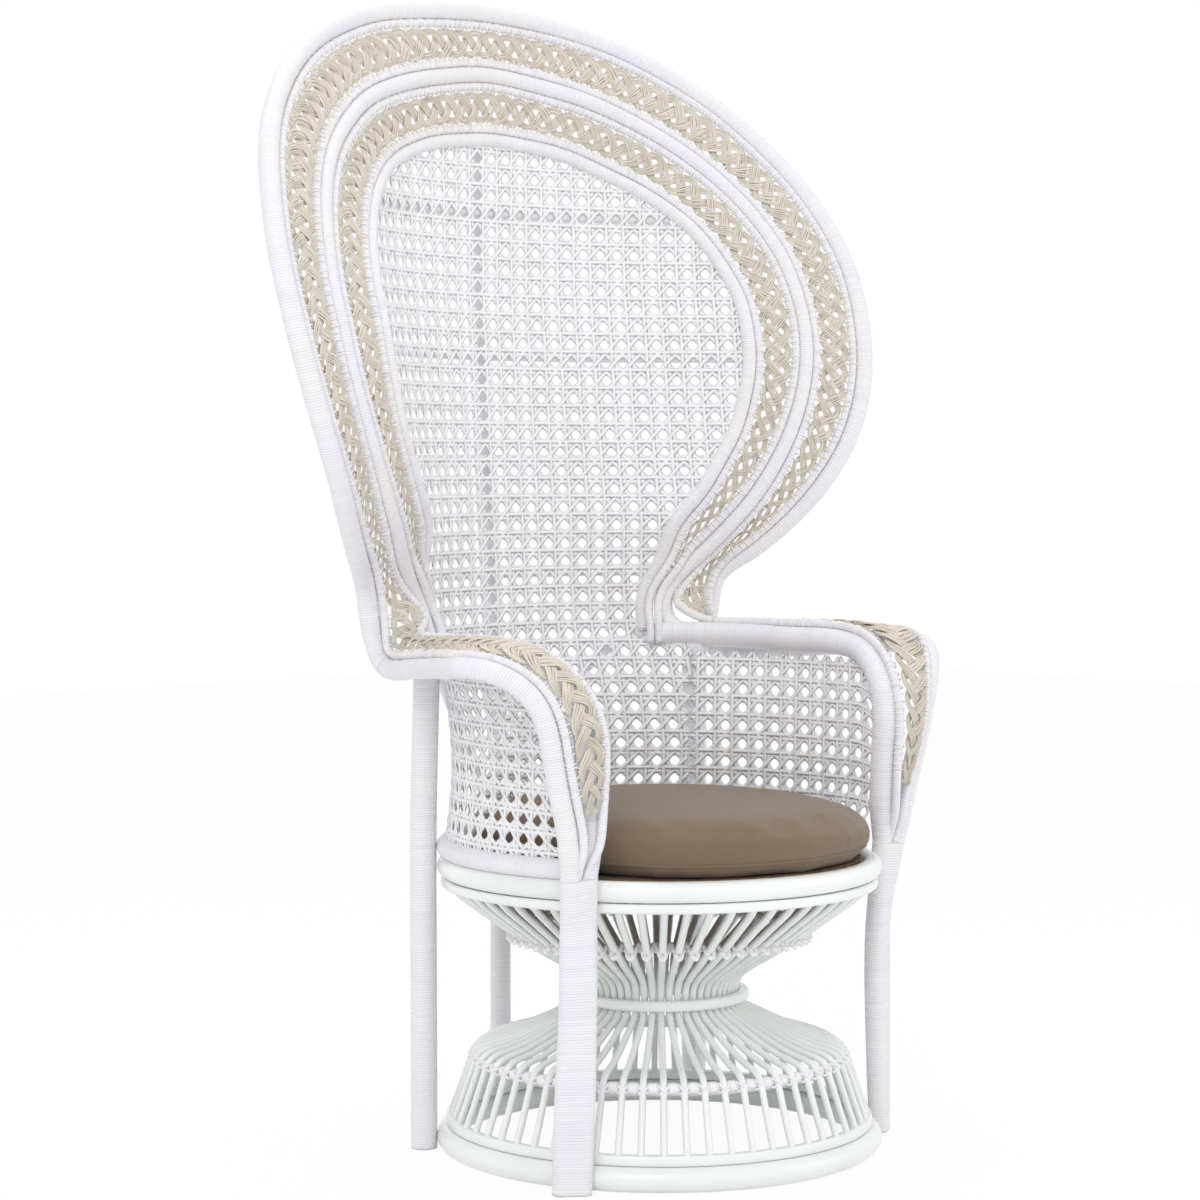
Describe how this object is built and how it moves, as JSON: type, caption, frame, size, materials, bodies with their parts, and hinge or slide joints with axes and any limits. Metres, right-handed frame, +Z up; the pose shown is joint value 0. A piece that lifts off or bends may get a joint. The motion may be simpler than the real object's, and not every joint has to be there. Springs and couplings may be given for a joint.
{
  "type": "peacock chair",
  "caption": "Tall fan-backed wicker peacock chair: slatted hourglass base, round cushioned seat, wrapped pole arms, cane panels and wide plaited bands.",
  "frame": {"origin": "on the floor, under the middle of the chair's overall width and depth", "axes": "+Z up, -Y the way the sitter faces, +X the sitter's left"},
  "size_m": [1.0044, 0.6476, 1.4636],
  "materials": {
    "painted_rattan": "gloss white paint",
    "wrapped_pole": "white cord wound closely round the poles",
    "plaited_band": "cream flat plait, matt",
    "woven_cane": "white six-way cane weave",
    "cushion_cloth": "plain taupe cloth, matt"
  },
  "bodies": {
    "chair": {"base_ring": "painted_rattan", "lower_slat_cage": "painted_rattan", "shoulder_hoop": "painted_rattan", "waist_ring": "painted_rattan", "upper_slat_cage": "painted_rattan", "scallop_hoop": "painted_rattan", "seat_ring": "painted_rattan", "seat_deck": "painted_rattan", "seat_hoop": "wrapped_pole", "fan_pole_outer": "wrapped_pole", "fan_pole_middle": "wrapped_pole", "fan_pole_inner": "wrapped_pole", "fan_strip_1": "wrapped_pole", "fan_strip_2": "wrapped_pole", "fan_braid_outer": "plaited_band", "fan_strip_3": "wrapped_pole", "fan_strip_4": "wrapped_pole", "fan_braid_inner": "plaited_band", "cane_back": "woven_cane", "back_bar_1": "wrapped_pole", "back_bar_2": "wrapped_pole", "back_bar_3": "wrapped_pole", "back_bar_4": "wrapped_pole", "rear_leg_spine": "wrapped_pole", "arm_pole_inner_left": "wrapped_pole", "arm_pole_outer_left": "wrapped_pole", "arm_strip_outer_left": "wrapped_pole", "arm_strip_inner_left": "wrapped_pole", "arm_braid_left": "plaited_band", "rear_post_left": "wrapped_pole", "cane_arm_left": "woven_cane", "back_brace_left": "wrapped_pole", "arm_pole_inner_right": "wrapped_pole", "arm_pole_outer_right": "wrapped_pole", "arm_strip_outer_right": "wrapped_pole", "arm_strip_inner_right": "wrapped_pole", "arm_braid_right": "plaited_band", "rear_post_right": "wrapped_pole", "cane_arm_right": "woven_cane", "back_brace_right": "wrapped_pole"},
    "cushion": {"seat_cushion": "cushion_cloth"}
  },
  "joints": [
    {"name": "cushion_lift", "type": "slide", "parent": "chair", "child": "cushion", "axis": [0, 0, 1], "range_m": [0, 0.12]}
  ]
}
